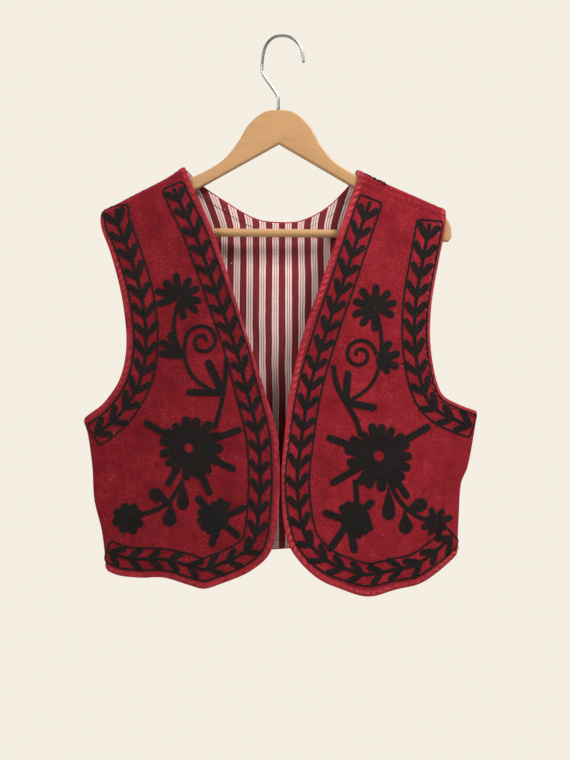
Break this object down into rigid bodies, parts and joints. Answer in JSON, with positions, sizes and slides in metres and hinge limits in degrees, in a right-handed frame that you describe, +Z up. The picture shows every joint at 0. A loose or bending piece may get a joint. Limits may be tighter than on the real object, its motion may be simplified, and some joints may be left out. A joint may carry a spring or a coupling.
{
  "type": "embroidered folk vest on a wooden hanger",
  "caption": "Cropped sleeveless folk vest in crimson velvet with black floral chain-stitch embroidery and striped lining, open in front, hanging on a wooden hanger with a wire hook.",
  "frame": {"origin": "inside of the hook's crown, the point that rests on the rail, peg or wall hook that holds the hanger up", "axes": "+Z up, -Y out of the vest's front, +X towards the wearer's left; the vest is widest along X and thinnest along Y"},
  "size_m": [0.503, 0.0448, 0.715],
  "materials": {
    "velvet": "crimson cotton velvet, short soft pile",
    "embroidery": "thick black cotton thread in rows of chain stitch",
    "lining": "plain-weave cotton with maroon and pinkish-white stripes",
    "hanger_wood": "clear satin lacquer",
    "hook_steel": "bright plated wire"
  },
  "bodies": {
    "root": {"front_right": "velvet", "front_left": "velvet", "back": "velvet", "lining_front_right": "lining", "lining_front_left": "lining", "lining_back": "lining", "hanger_body": "hanger_wood", "hanger_bar": "hanger_wood", "hanger_hook": "hook_steel"}
  },
  "joints": []
}
